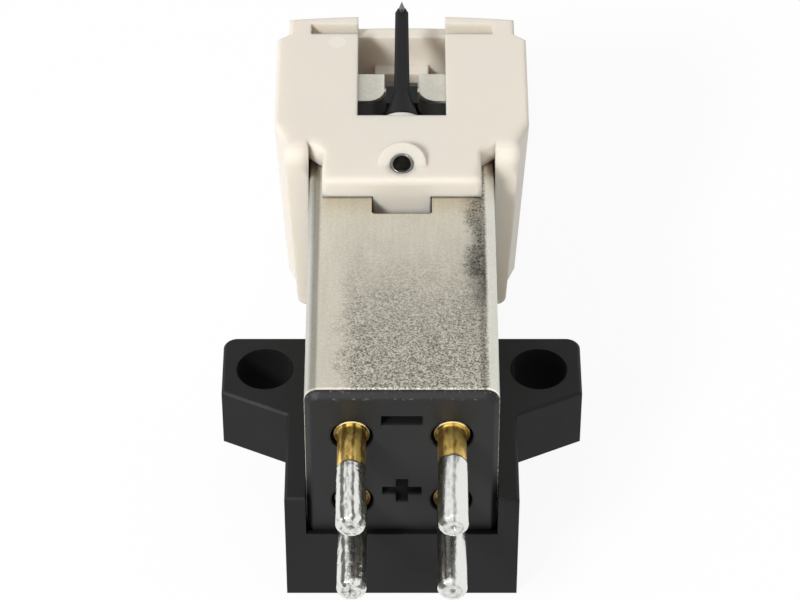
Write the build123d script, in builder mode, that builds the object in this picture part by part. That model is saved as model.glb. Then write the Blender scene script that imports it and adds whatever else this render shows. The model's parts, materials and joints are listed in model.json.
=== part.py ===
from build123d import *
import os
from math import cos, radians, sin

# Moving-magnet phono cartridge on a half-inch mounting bracket, stylus side up.
# Frame: the origin is on the mounting face, midway between the two mounting holes.
# +X is to the right seen from the terminals, +Y points to the stylus end and
# +Z from the mounting face towards the stylus tip. All sizes are in millimetres.

# Mounting bracket, a moulded cradle with two ears
hole_spacing = 12.7
hole_dia = 2.6
hole_flat = 1.12  # from a hole's centre to the flat on its inner side
ear_margin = 0.67  # wall outside a hole
ear_thickness = 3.25
ear_front = 2.12  # from the hole line to the front face
ear_rear = 1.5  # from the hole line back to an ear's outer rear corner
ear_root_rear = 2.95  # from the hole line back to an ear's root
ear_corner = 0.65
bracket_width = 10.55
bracket_height = 6.35
bracket_rear = 8.2  # from the hole line back to the rear face
bracket_edge = 0.12
seat_height = 3.5  # floor under the can
sill_height = 0.5  # lip behind the can, above the floor
sill_thickness = 0.25

# Shield can, a folded sheet tube
can_width = 8.6
can_height = 9.17
can_length = 17.0
can_sheet = 0.3
can_bend = 0.65
can_seam = 0.12
tongue_slot_width = 2.77
tongue_slot_length = 5.67
tongue_slot_corner = 0.15

# Fits
can_clearance = 0.03  # can between the bracket's walls
sill_gap = 0.05
insert_clearance = 0.03  # what is pushed into the can
flange_inset = 0.02  # terminal flange inside the can's outline
pin_clearance = 0.02
core_clearance = 0.03
tip_clearance = 0.01  # stylus tip in the bar
slide_clearance = 0.05  # stylus housing over and inside the can
seat_gap = 0.05  # between stacked pieces
swing_gap = 0.1  # around what moves with the cantilever

# Terminal block and its four pins
terminal_depth = 4.35
terminal_corner = 0.5
terminal_edge = 0.25
flange_thickness = 0.35  # covers the can's rear end
pin_pitch_x = 4.43
pin_pitch_z = 4.13
pin_drop = 0.06  # pin pattern's centre below the can's centre
pin_dia = 1.27
pin_reach = 5.49  # tip beyond the terminal face
pin_tip_bevel = 0.2
pin_collar_dia = 1.62
pin_collar_length = 0.7
pin_collar_bevel = 0.08
pin_shank_dia = 0.9
pin_tail = 0.5  # solder tail inside the can
recess_dia = 1.9
recess_depth = 0.8
key_slot_width = 1.83
key_slot_height = 0.6
key_slot_rise = 3.03  # above the pin pattern's centre
key_depth = 0.9
cross_bar_width = 1.76
cross_bar_height = 0.5
cross_bar_drop = 1.45  # below the pin pattern's centre
cross_arm_width = 0.54
cross_arm_height = 1.5
cross_depth = 0.35

# Generator: return yoke, two pole pieces, bobbins and windings, front holder
yoke_thickness = 0.9
yoke_margin = 0.45
pole_thickness = 1.0
pole_height = 1.4
pole_tip_height = 2.0
pole_tip_rise = 3.4  # underside of the core to the top of the tip
pole_tip_length = 1.6
pole_reach = 1.0  # tip beyond the can's front edge
bobbin_height = 6.4
bobbin_length = 6.0
bobbin_flange = 0.4
bobbin_wall = 0.35
coil_side_gap = 0.07  # bobbin to the can's inside
coil_mid_gap = 0.5  # between the two bobbins
winding_inset = 0.2
winding_corner = 0.6
holder_length = 3.4
holder_setback = 0.4  # behind the can's front edge

# Stylus housing, a moulded cap over the can's front end
plate_thickness = 1.03
housing_width = 11.93
wing_width = 11.0  # across the wings at their rear
nose_width = 10.84
housing_draft = 0.52  # inward lean of each side from top to bottom
wing_overlap = 2.65  # wings behind the can's front edge
wing_straight = 0.95
shoulder_run = 1.15
nose_length = 7.35  # front face beyond the can's front edge
nose_bow = 0.3  # forward bow of the front face
nose_step = 1.4
nose_chamfer = 0.4
wing_lift = 0.46  # bottom edge above the can's underside
floor_thickness = 0.8
front_wall = 0.7
top_edge = 0.18
bottom_edge = 0.5
wing_roll = 0.8  # rounding of a wing's upper rear edge
lobe_width = 7.34
lobe_overlap = 4.56
lobe_straight = 2.05
lobe_flare = 0.6
notch_width = 4.18
notch_length = 6.68
cross_slot = 0.73
front_dip = 0.85  # centre of the front wall below the plate's top
ledge_width = 2.6
ledge_depth = 0.65
ledge_drop = 2.6
rib_width = 0.7
rib_length = 1.5
tongue_depth = 2.4  # tongue below the plate's underside
nozzle_dia = 1.8  # round front end of the tongue

# Suspension and cantilever, all on one tilted axis through the pivot
tilt = 23.5
pivot_ahead = 0.75  # pivot in front of the notch's rear edge
pivot_drop = 0.737  # pivot below the plate's top
sleeve_dia = 1.1
sleeve_bore = 0.6
sleeve_length = 4.25
wire_dia = 0.3
bead_dia = 1.0
bead_length = 0.3
wire_past_pivot = 0.3
damper_dia = 1.3
damper_bore = 0.5
damper_length = 0.45
damper_ahead = 0.2  # damper's front face behind the pivot
eyelet_dia = 1.05
eyelet_bore = 0.8
eyelet_length = 1.6
eyelet_proud = 0.12
eyelet_rim = 0.05
eyelet_from_rear = 1.02
boss_dia = 2.3
boss_rise = 0.06
clip_sheet = 0.28
clip_drop = 0.52  # clip's top below the plate's underside
clip_gap = 1.67
clip_length = 1.95
clip_web = 1.5
clip_web_notch = 0.9
clip_corner = 0.8
clip_ahead = 2.08  # clip's rear edge in front of the pivot

base_dia = 1.6
base_length = 1.3
base_taper = 17.0  # degrees
socket_dia = 0.42
socket_length = 0.6
neck_width = 1.5
neck_height = 0.75
neck_drop = 0.15  # neck's middle below the axis
neck_end = 1.85  # from the pivot
neck_bevel = 0.38
bar_width = 0.76
bar_height = 0.7
bar_end_width = 0.62
bar_end_height = 0.46
bar_bevel = 0.14
bar_end_bevel = 0.17
bar_start = 0.6
bar_length = 5.6
arm_span = 4.9
arm_ahead = 1.23  # middle of the arms in front of the pivot
arm_length = 1.1
arm_thickness = 0.8
arm_drop = 0.42  # arms' top below the plate's underside
arm_flare = 0.8  # blend from the arms up to the neck
magnet_dia = 0.9
magnet_length = 2.6
magnet_socket = 0.5
magnet_lean = 30.0
magnet_spacing = 2.7
tip_dia = 0.26
tip_shank = 0.42  # from the bar's middle up to the cone
tip_length = 0.36
tip_taper = 19.0  # degrees from the tip's axis
tip_from_end = 0.22

# Levels and stations that follow from the sizes
ear_span = hole_spacing + hole_dia + 2 * ear_margin
bracket_length = bracket_rear + ear_front
ear_bottom = bracket_height - ear_thickness
channel_width = can_width + 2 * can_clearance
can_bottom = seat_height
can_top = can_bottom + can_height
can_mid_z = can_bottom + can_height / 2
terminal_face_y = sill_thickness + sill_gap - bracket_rear
can_rear_y = terminal_face_y + flange_thickness
can_front_y = can_rear_y + can_length
insert_width = can_width - 2 * (can_sheet + insert_clearance)
insert_height = can_height - 2 * (can_sheet + insert_clearance)
terminal_front_y = terminal_face_y + terminal_depth
pin_mid_z = can_mid_z - pin_drop
yoke_front_y = terminal_front_y + yoke_thickness
bobbin_width = (insert_width - 2 * coil_side_gap - coil_mid_gap) / 2
pole_spacing = bobbin_width + coil_mid_gap
bobbin_rear_y = yoke_front_y + seat_gap
bobbin_front_y = bobbin_rear_y + bobbin_length
holder_front_y = can_front_y - holder_setback
pole_tip_y = can_front_y + pole_reach
pole_bottom = pin_mid_z - pole_height / 2
plate_bottom = can_top + slide_clearance
plate_top = plate_bottom + plate_thickness
wing_bottom = can_bottom + wing_lift
wing_rear_y = can_front_y - wing_overlap
nose_y = can_front_y + nose_length
nose_inner_y = nose_y - front_wall
lobe_rear_y = can_front_y - lobe_overlap
cavity_width = can_width + 2 * slide_clearance
notch_rear_y = nose_inner_y - notch_length
floor_rear_y = can_front_y + seat_gap
tongue_width = tongue_slot_width - 2 * slide_clearance
tongue_bottom = plate_bottom - tongue_depth
pivot_y = notch_rear_y + pivot_ahead
pivot_z = plate_top - pivot_drop
clip_top = plate_bottom - clip_drop
clip_rear_y = pivot_y + clip_ahead
clip_front_y = clip_rear_y + clip_length
arm_top = plate_bottom - arm_drop
arm_mid_y = pivot_y + arm_ahead
damper_rear = -damper_ahead - damper_length
sleeve_front = damper_rear - swing_gap
sleeve_rear = sleeve_front - sleeve_length
nozzle_front = -damper_ahead
base_rear = nozzle_front + swing_gap
lean_along = (0, cos(radians(tilt)), sin(radians(tilt)))
lean_up = (0, -sin(radians(tilt)), cos(radians(tilt)))


def on_axis(along, up=0.0):
    """Point on the tilted axis, measured forwards from the pivot and up from the axis."""
    return (
        0,
        pivot_y + along * lean_along[1] + up * lean_up[1],
        pivot_z + along * lean_along[2] + up * lean_up[2],
    )


def across_axis(along):
    """Plane square to the tilted axis, its normal pointing to the stylus tip."""
    return Plane(origin=on_axis(along), x_dir=(-1, 0, 0), z_dir=lean_along)


def facing_rear(y):
    """Upright plane at y that faces the terminals, with X to the right and Z up."""
    return Plane.XZ.offset(-y)


def span(low, high):
    """Middle of a stretch."""
    return (low + high) / 2


def save(part, name):
    part.label = name
    export_step(part, f"parts/{name}.step")


os.makedirs("parts", exist_ok=True)

# Mounting bracket: block with ears, open channel for the can and D-shaped holes
with BuildPart() as mounting_bracket:
    with BuildSketch(Plane.XY):
        with Locations((0, span(-bracket_rear, ear_front))):
            Rectangle(bracket_width, bracket_length)
    extrude(amount=bracket_height)
    with BuildSketch(Plane.XY.offset(ear_bottom)) as ears:
        with BuildLine():
            Polyline(
                (0, ear_front),
                (ear_span / 2, ear_front),
                (ear_span / 2, -ear_rear),
                (bracket_width / 2, -ear_root_rear),
                (0, -ear_root_rear),
                close=True,
            )
        make_face()
        fillet(ears.vertices().group_by(Axis.X)[-1].sort_by(Axis.Y)[-1], ear_corner)
        mirror(about=Plane.YZ)
    extrude(amount=ear_thickness)
    chamfer(mounting_bracket.faces().sort_by(Axis.Z)[-1].outer_wire().edges(), bracket_edge)
    with BuildSketch(Plane.XY.offset(seat_height)):
        with Locations((0, span(sill_thickness - bracket_rear, ear_front))):
            Rectangle(channel_width, bracket_length - sill_thickness)
    extrude(amount=bracket_height, mode=Mode.SUBTRACT)
    with BuildSketch(Plane.XY.offset(seat_height + sill_height)):
        with Locations((0, span(-bracket_rear, ear_front))):
            Rectangle(channel_width, bracket_length)
    extrude(amount=bracket_height, mode=Mode.SUBTRACT)
    with BuildSketch(Plane.XY.offset(ear_bottom)):
        with Locations((hole_spacing / 2, 0)):
            Circle(hole_dia / 2)
        with Locations((hole_spacing / 2 - hole_flat - hole_dia / 2, 0)):
            Rectangle(hole_dia, hole_dia, mode=Mode.SUBTRACT)
        mirror(about=Plane.YZ)
    extrude(amount=ear_thickness, mode=Mode.SUBTRACT)
save(mounting_bracket.part, "mounting_bracket")

# Shield can: rounded square tube with a butt seam below and a tongue slot above
with BuildPart() as shield_can:
    with BuildSketch(facing_rear(can_front_y)):
        with Locations((0, can_mid_z)):
            RectangleRounded(can_width, can_height, can_bend)
            RectangleRounded(
                can_width - 2 * can_sheet,
                can_height - 2 * can_sheet,
                can_bend - can_sheet,
                mode=Mode.SUBTRACT,
            )
        with Locations((0, can_bottom)):
            Rectangle(can_seam, 3 * can_sheet, mode=Mode.SUBTRACT)
    extrude(amount=can_length)
    with BuildSketch(Plane.XY.offset(can_mid_z)) as tongue_slot:
        with Locations((0, can_front_y - tongue_slot_length / 2)):
            Rectangle(tongue_slot_width, tongue_slot_length)
        fillet(tongue_slot.vertices().group_by(Axis.Y)[0], tongue_slot_corner)
    extrude(amount=can_height, mode=Mode.SUBTRACT)
save(shield_can.part, "shield_can")

# Terminal block: plug and flange at the can's rear end, with pin recesses and moulded marks
with BuildPart() as terminal_block:
    with BuildSketch(facing_rear(terminal_front_y)):
        with Locations((0, can_mid_z)):
            RectangleRounded(insert_width, insert_height, terminal_corner)
    extrude(amount=terminal_depth)
    with BuildSketch(facing_rear(can_rear_y)):
        with Locations((0, can_mid_z)):
            RectangleRounded(
                can_width - 2 * flange_inset,
                can_height - 2 * flange_inset,
                can_bend - flange_inset,
            )
    extrude(amount=flange_thickness)
    chamfer(terminal_block.faces().sort_by(Axis.Y)[0].edges(), terminal_edge)
    with BuildSketch(facing_rear(terminal_front_y)):
        with Locations((0, pin_mid_z)):
            with GridLocations(pin_pitch_x, pin_pitch_z, 2, 2):
                Circle(pin_shank_dia / 2 + pin_clearance)
    extrude(amount=terminal_depth, mode=Mode.SUBTRACT)
    with BuildSketch(facing_rear(terminal_face_y + recess_depth)):
        with Locations((0, pin_mid_z)):
            with GridLocations(pin_pitch_x, pin_pitch_z, 2, 2):
                Circle(recess_dia / 2)
    extrude(amount=recess_depth, mode=Mode.SUBTRACT)
    with BuildSketch(facing_rear(terminal_face_y + key_depth)):
        with Locations((0, pin_mid_z + key_slot_rise)):
            Rectangle(key_slot_width, key_slot_height)
    extrude(amount=key_depth, mode=Mode.SUBTRACT)
    with BuildSketch(facing_rear(terminal_face_y + cross_depth)):
        with Locations((0, pin_mid_z - cross_bar_drop)):
            Rectangle(cross_bar_width, cross_bar_height)
            Rectangle(cross_arm_width, cross_arm_height)
    extrude(amount=cross_depth, mode=Mode.SUBTRACT)
save(terminal_block.part, "terminal_block")


def turned_pin(x, z):
    """One terminal pin: solder tail, collar in the recess, straight contact."""
    collar_front_y = terminal_face_y + recess_depth
    collar_rear_y = collar_front_y - pin_collar_length
    tip_y = terminal_face_y - pin_reach
    tail_y = terminal_front_y + pin_tail
    with BuildPart() as pin:
        with BuildSketch(Plane(origin=(x, 0, z))) as profile:
            with BuildLine():
                Polyline(
                    (0, tail_y),
                    (pin_shank_dia / 2, tail_y),
                    (pin_shank_dia / 2, collar_front_y),
                    (pin_collar_dia / 2, collar_front_y),
                    (pin_collar_dia / 2, collar_rear_y + pin_collar_bevel),
                    (pin_collar_dia / 2 - pin_collar_bevel, collar_rear_y),
                    (pin_dia / 2, collar_rear_y),
                    (pin_dia / 2, tip_y),
                    (0, tip_y),
                    close=True,
                )
            make_face()
            chamfer(profile.vertices().group_by(Axis.Y)[0].sort_by(Axis.X)[-1], pin_tip_bevel)
        revolve(axis=Axis((x, 0, z), (0, 1, 0)))
    return pin.part


for side, x_sign in (("left", -1), ("right", 1)):
    for row, z_sign in (("upper", 1), ("lower", -1)):
        pin = turned_pin(x_sign * pin_pitch_x / 2, pin_mid_z + z_sign * pin_pitch_z / 2)
        save(pin, f"terminal_pin_{row}_{side}")

# Return yoke: plate behind the coils that takes the rear ends of both pole pieces
with BuildPart() as return_yoke:
    with BuildSketch(facing_rear(yoke_front_y)):
        with Locations((0, pin_mid_z)):
            Rectangle(pole_spacing + pole_thickness + 2 * yoke_margin, pole_height + 2 * yoke_margin)
            with GridLocations(pole_spacing, 0, 2, 1):
                Rectangle(
                    pole_thickness + 2 * core_clearance,
                    pole_height + 2 * core_clearance,
                    mode=Mode.SUBTRACT,
                )
    extrude(amount=yoke_thickness)
save(return_yoke.part, "return_yoke")


def pole_piece(x):
    """Core bar through a coil, rising to a tip beside the magnet."""
    core_top = pole_bottom + pole_height
    tip_top = pole_bottom + pole_tip_rise
    tip_bottom = tip_top - pole_tip_height
    tip_rear_y = pole_tip_y - pole_tip_length
    bend_y = bobbin_front_y + pole_height
    with BuildPart() as pole:
        with BuildSketch(Plane.YZ.offset(x - pole_thickness / 2)):
            with BuildLine():
                Polyline(
                    (terminal_front_y, pole_bottom),
                    (bend_y + pole_height, pole_bottom),
                    (pole_tip_y, tip_bottom),
                    (pole_tip_y, tip_top),
                    (tip_rear_y, tip_top),
                    (bend_y, core_top),
                    (terminal_front_y, core_top),
                    close=True,
                )
            make_face()
        extrude(amount=pole_thickness)
    return pole.part


def coil_bobbin(x):
    """Flanged spool around a core."""
    tube_width = pole_thickness + 2 * (core_clearance + bobbin_wall)
    tube_height = pole_height + 2 * (core_clearance + bobbin_wall)
    with BuildPart() as bobbin:
        for front_y in (bobbin_front_y, bobbin_rear_y + bobbin_flange):
            with BuildSketch(facing_rear(front_y)):
                with Locations((x, pin_mid_z)):
                    Rectangle(bobbin_width, bobbin_height)
            extrude(amount=bobbin_flange)
        with BuildSketch(facing_rear(bobbin_front_y)):
            with Locations((x, pin_mid_z)):
                Rectangle(tube_width, tube_height)
        extrude(amount=bobbin_length)
        with BuildSketch(facing_rear(bobbin_front_y)):
            with Locations((x, pin_mid_z)):
                Rectangle(pole_thickness + 2 * core_clearance, pole_height + 2 * core_clearance)
        extrude(amount=bobbin_length, mode=Mode.SUBTRACT)
    return bobbin.part


def coil_winding(x):
    """Wound copper between a bobbin's flanges."""
    tube_width = pole_thickness + 2 * (core_clearance + bobbin_wall)
    tube_height = pole_height + 2 * (core_clearance + bobbin_wall)
    with BuildPart() as winding:
        with BuildSketch(facing_rear(bobbin_front_y - bobbin_flange)):
            with Locations((x, pin_mid_z)):
                RectangleRounded(
                    bobbin_width - 2 * winding_inset, bobbin_height - 2 * winding_inset, winding_corner
                )
                Rectangle(tube_width, tube_height, mode=Mode.SUBTRACT)
        extrude(amount=bobbin_length - 2 * bobbin_flange)
    return winding.part


for side, x_sign in (("left", -1), ("right", 1)):
    coil_x = x_sign * pole_spacing / 2
    save(pole_piece(coil_x), f"pole_piece_{side}")
    save(coil_bobbin(coil_x), f"coil_bobbin_{side}")
    save(coil_winding(coil_x), f"coil_winding_{side}")

# Pole holder: moulding in the can's front end with pole slots and a channel for the tongue
with BuildPart() as pole_holder:
    with BuildSketch(facing_rear(holder_front_y)):
        with Locations((0, can_mid_z)):
            RectangleRounded(insert_width, insert_height, terminal_corner)
        with GridLocations(pole_spacing, 0, 2, 1):
            with Locations((0, pole_bottom - core_clearance + can_height / 2)):
                Rectangle(pole_thickness + 2 * core_clearance, can_height, mode=Mode.SUBTRACT)
        with Locations((0, tongue_bottom - seat_gap + can_height / 2)):
            Rectangle(tongue_slot_width, can_height, mode=Mode.SUBTRACT)
    extrude(amount=holder_length)
save(pole_holder.part, "pole_holder")


def housing_outline(inset):
    """Half plan of the housing's walls, from the wing's rear to the nose, pulled in by inset."""
    wing_x = wing_width / 2 - inset
    side_x = housing_width / 2 - inset
    nose_x = nose_width / 2 - inset
    shoulder_y = wing_rear_y + wing_straight
    step_y = nose_y - nose_step
    return [
        (wing_x, wing_rear_y),
        (wing_x, shoulder_y),
        (side_x, shoulder_y + shoulder_run),
        (side_x, step_y - nose_chamfer),
        (nose_x, step_y),
        (nose_x, nose_y - nose_bow),
    ]


def other_side(points):
    """The same points mirrored to the left."""
    return [(-x, y) for x, y in points]


# Stylus housing: drafted cap with a lobed plate over the can, open stylus notch and tongue
with BuildPart() as stylus_housing:
    for level, inset in ((wing_bottom, housing_draft), (plate_top, 0.0)):
        with BuildSketch(Plane.XY.offset(level)):
            with BuildLine():
                right = housing_outline(inset)
                left = other_side(right)
                Polyline(*right)
                ThreePointArc(right[-1], (0, nose_y), left[-1])
                Polyline(*left)
                Line(left[0], right[0])
            make_face()
    loft(ruled=True)
    side_edges = stylus_housing.faces().sort_by(Axis.Z)[0].edges().filter_by(GeomType.LINE)
    fillet(side_edges.filter_by(Axis.X, reverse=True), bottom_edge)
    with BuildSketch(Plane.XY.offset(plate_bottom)):
        with Locations((0, span(lobe_rear_y, notch_rear_y))):
            Rectangle(lobe_width, notch_rear_y - lobe_rear_y)
    extrude(amount=plate_thickness)
    with BuildSketch(Plane.XY.offset(plate_bottom)):
        lobe_straight_y = lobe_rear_y + lobe_straight
        with BuildLine():
            Polyline(
                (lobe_width / 2, lobe_rear_y),
                (lobe_width / 2, lobe_straight_y),
                (cavity_width / 2, lobe_straight_y + lobe_flare),
                (cavity_width / 2, lobe_rear_y),
                close=True,
            )
        make_face()
        mirror(about=Plane.YZ)
    extrude(amount=plate_thickness, mode=Mode.SUBTRACT)
    fillet(stylus_housing.faces().sort_by(Axis.Z)[-1].edges(), top_edge)
    # Rolled upper rear edges of the wings
    with BuildSketch(Plane.YZ.offset(cavity_width / 2)):
        with BuildLine():
            roll_start = (wing_rear_y, plate_top - wing_roll)
            roll_end = (wing_rear_y + wing_roll, plate_top)
            RadiusArc(roll_start, roll_end, wing_roll)
            Polyline(roll_end, (wing_rear_y, plate_top), roll_start)
        make_face()
    wing_cuts = extrude(amount=housing_width - cavity_width, mode=Mode.SUBTRACT)
    mirror(wing_cuts, about=Plane.YZ, mode=Mode.SUBTRACT)
    # Inside: room for the can, closed by a floor in front of it
    with BuildSketch(Plane.XY.offset(wing_bottom - floor_thickness)):
        with Locations((0, span(lobe_rear_y, floor_rear_y))):
            Rectangle(cavity_width, floor_rear_y - lobe_rear_y)
    extrude(amount=plate_bottom - wing_bottom + floor_thickness, mode=Mode.SUBTRACT)
    with BuildSketch(Plane.XY.offset(wing_bottom + floor_thickness)):
        with Locations((0, span(lobe_rear_y, nose_inner_y))):
            Rectangle(cavity_width, nose_inner_y - lobe_rear_y)
    extrude(amount=plate_bottom - wing_bottom - floor_thickness, mode=Mode.SUBTRACT)
    # Stylus notch, the cross slot at its front and the dip in the front wall
    with BuildSketch(Plane.XY.offset(plate_bottom)):
        with Locations((0, span(notch_rear_y, nose_inner_y))):
            Rectangle(notch_width, notch_length)
        with Locations((0, nose_inner_y - cross_slot / 2)):
            Rectangle(cavity_width, cross_slot)
    extrude(amount=plate_thickness, mode=Mode.SUBTRACT)
    with BuildSketch(Plane.XY.offset(plate_top - front_dip)):
        with Locations((0, span(nose_inner_y, nose_y))):
            Rectangle(notch_width, front_wall)
    extrude(amount=front_dip, mode=Mode.SUBTRACT)
    # Ledge on the front wall and ribs that carry the suspension clip
    with BuildSketch(Plane.XY.offset(wing_bottom)):
        with Locations((0, nose_inner_y - ledge_depth / 2)):
            Rectangle(ledge_width, ledge_depth)
    extrude(amount=plate_top - ledge_drop - wing_bottom)
    with BuildSketch(Plane.XY.offset(wing_bottom)):
        with Locations((0, span(clip_rear_y, clip_front_y) - clip_sheet)):
            with GridLocations(cavity_width - rib_width, 0, 2, 1):
                Rectangle(rib_width, rib_length)
    extrude(amount=clip_top - clip_sheet - wing_bottom)
    # Tongue into the can's slot, with a round nozzle around the suspension sleeve
    with BuildSketch(Plane.XY.offset(tongue_bottom)):
        with Locations((0, span(lobe_rear_y, notch_rear_y))):
            Rectangle(tongue_width, notch_rear_y - lobe_rear_y)
    extrude(amount=tongue_depth)
    with BuildSketch(across_axis(nozzle_front)):
        Circle(nozzle_dia / 2)
    extrude(amount=-sleeve_length / 2)
    with BuildSketch(across_axis(nozzle_front)):
        Circle(damper_dia / 2 + swing_gap)
    extrude(amount=sleeve_front - nozzle_front, mode=Mode.SUBTRACT)
    with BuildSketch(across_axis(sleeve_front)):
        Circle(sleeve_dia / 2 + pin_clearance)
    extrude(amount=-sleeve_length - bead_length - seat_gap, mode=Mode.SUBTRACT)
    # Tilted boss and hole for the locking eyelet
    eyelet_seat = Plane(
        origin=(0, lobe_rear_y + eyelet_from_rear, plate_top + boss_rise),
        x_dir=(1, 0, 0),
        z_dir=lean_up,
    )
    with BuildSketch(eyelet_seat):
        Circle(boss_dia / 2)
    extrude(amount=-plate_thickness)
    with BuildSketch(eyelet_seat.offset(boss_dia / 2)):
        Circle(eyelet_dia / 2 + pin_clearance)
    extrude(amount=-(eyelet_length - eyelet_proud + boss_dia / 2), mode=Mode.SUBTRACT)
save(stylus_housing.part, "stylus_housing")

# Locking eyelet: short metal tube in the tilted boss
with BuildPart() as locking_eyelet:
    with BuildSketch(eyelet_seat.offset(eyelet_proud)):
        Circle(eyelet_dia / 2)
        Circle(eyelet_bore / 2, mode=Mode.SUBTRACT)
    extrude(amount=-eyelet_length)
    chamfer(locking_eyelet.faces().sort_by(Axis(eyelet_seat.origin, lean_up))[-1].edges(), eyelet_rim)
save(locking_eyelet.part, "locking_eyelet")

# Suspension sleeve: tube pressed into the tongue
with BuildPart() as suspension_sleeve:
    with BuildSketch(across_axis(sleeve_rear)):
        Circle(sleeve_dia / 2)
        Circle(sleeve_bore / 2, mode=Mode.SUBTRACT)
    extrude(amount=sleeve_length)
save(suspension_sleeve.part, "suspension_sleeve")

# Tie wire: runs through sleeve and damper to the pivot, with a crimped bead at its rear
with BuildPart() as tie_wire:
    with BuildSketch(across_axis(sleeve_rear - bead_length)):
        Circle(bead_dia / 2)
    extrude(amount=bead_length)
    with BuildSketch(across_axis(sleeve_rear)):
        Circle(wire_dia / 2)
    extrude(amount=wire_past_pivot - sleeve_rear)
save(tie_wire.part, "tie_wire")

# Damper: rubber ring between the sleeve and the cantilever's base
with BuildPart() as damper:
    with BuildSketch(across_axis(damper_rear)):
        Circle(damper_dia / 2)
        Circle(damper_bore / 2, mode=Mode.SUBTRACT)
    extrude(amount=damper_length)
save(damper.part, "damper")

# Suspension clip: folded sheet, two tongues beside the cantilever and a web in front
with BuildPart() as suspension_clip:
    with BuildSketch(Plane.XY.offset(clip_top - clip_sheet)) as tongues:
        clip_half = cavity_width / 2 - seat_gap
        tongue_reach = clip_half - clip_gap / 2
        with Locations((0, span(clip_rear_y, clip_front_y))):
            with GridLocations(clip_gap + tongue_reach, 0, 2, 1):
                Rectangle(tongue_reach, clip_length)
        inner_corners = tongues.vertices().group_by(Axis.Y)[0].sort_by(Axis.X)[1:3]
        fillet(inner_corners, clip_corner)
    extrude(amount=clip_sheet)
    with BuildSketch(facing_rear(clip_front_y)):
        with Locations((0, clip_top - clip_web / 2)):
            Rectangle(2 * clip_half, clip_web)
        with Locations((0, clip_top - clip_web_notch / 2)):
            Rectangle(clip_gap, clip_web_notch, mode=Mode.SUBTRACT)
    extrude(amount=clip_sheet)
save(suspension_clip.part, "suspension_clip")


def magnet_plane(x_sign):
    """Plane across a magnet's axis at its upper end, the normal leaning down and outwards."""
    lean = radians(magnet_lean)
    start = (x_sign * magnet_spacing / 2, arm_mid_y, arm_top - arm_thickness + magnet_socket)
    return Plane(origin=start, x_dir=(0, 1, 0), z_dir=(x_sign * sin(lean), 0, -cos(lean)))


# Cantilever: black moulding with a tapered base, blended arms for the magnets and a slim bar
with BuildPart() as cantilever:
    with BuildSketch(across_axis(base_rear)):
        Circle(base_dia / 2)
    extrude(amount=base_length, taper=base_taper)
    with BuildSketch(across_axis(bar_start)):
        with Locations((0, -neck_drop)):
            Rectangle(neck_width, neck_height)
    extrude(amount=neck_end - bar_start)
    neck_front = cantilever.faces().filter_by(Axis((0, 0, 0), lean_along)).sort_by(Axis.Y)[-1]
    chamfer(neck_front.edges().sort_by(Axis.Z)[-1], neck_bevel)
    with BuildSketch(Plane.XY.offset(arm_top - arm_thickness)):
        with Locations((0, arm_mid_y)):
            Rectangle(neck_width, arm_length)
    extrude(amount=on_axis(arm_ahead)[2] - arm_top + arm_thickness)
    with BuildSketch(Plane.XY.offset(arm_top - arm_thickness)):
        with Locations((0, arm_mid_y)):
            Rectangle(arm_span, arm_length)
    extrude(amount=arm_thickness)
    arm_edges = cantilever.edges().filter_by(Axis.Y)
    arm_roots = arm_edges.filter_by_position(Axis.Z, arm_top - seat_gap, arm_top + seat_gap)
    fillet(arm_roots.filter_by_position(Axis.X, -neck_width, neck_width), arm_flare)
    for along, width, height in (
        (bar_start, bar_width, bar_height),
        (bar_length, bar_end_width, bar_end_height),
    ):
        with BuildSketch(across_axis(along)) as section:
            Rectangle(width, height)
            chamfer(section.vertices().group_by(Axis.Z)[-1], bar_bevel)
    loft()
    bar_end = cantilever.faces().filter_by(Axis((0, 0, 0), lean_along)).sort_by(Axis.Y)[-1]
    chamfer(bar_end.edges().filter_by(Axis((0, 0, 0), lean_up)), bar_end_bevel)
    tip_foot = on_axis(bar_length - tip_from_end)
    with BuildSketch(Plane.XY.offset(tip_foot[2])):
        with Locations((0, tip_foot[1])):
            Circle(tip_dia / 2 + tip_clearance)
    extrude(amount=bar_height, mode=Mode.SUBTRACT)
    for x_sign in (-1, 1):
        with BuildSketch(magnet_plane(x_sign)):
            Circle(magnet_dia / 2 + pin_clearance)
        extrude(amount=magnet_length, mode=Mode.SUBTRACT)
    with BuildSketch(across_axis(base_rear)):
        Circle(socket_dia / 2)
    extrude(amount=socket_length, mode=Mode.SUBTRACT)
save(cantilever.part, "cantilever")

# Stylus tip: shank set upright into the bar, ending in a cone
with BuildPart() as stylus_tip:
    with BuildSketch(Plane.XY.offset(tip_foot[2] + tip_clearance)):
        with Locations((0, tip_foot[1])):
            Circle(tip_dia / 2)
    extrude(amount=tip_shank)
    with BuildSketch(Plane.XY.offset(tip_foot[2] + tip_clearance + tip_shank)):
        with Locations((0, tip_foot[1])):
            Circle(tip_dia / 2)
    extrude(amount=tip_length, taper=tip_taper)
save(stylus_tip.part, "stylus_tip")

# Magnets: two rods in a V below the arms
for side, x_sign in (("left", -1), ("right", 1)):
    with BuildPart() as magnet:
        with BuildSketch(magnet_plane(x_sign).offset(pin_clearance)):
            Circle(magnet_dia / 2)
        extrude(amount=magnet_length)
    save(magnet.part, f"magnet_{side}")
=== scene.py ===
"""Finishes, tinned pins and studio for a half-inch phono cartridge."""

import json
import math

import bmesh
import bpy
from bpy.props import FloatProperty, FloatVectorProperty, IntProperty, PointerProperty
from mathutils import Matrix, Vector, noise


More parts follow.
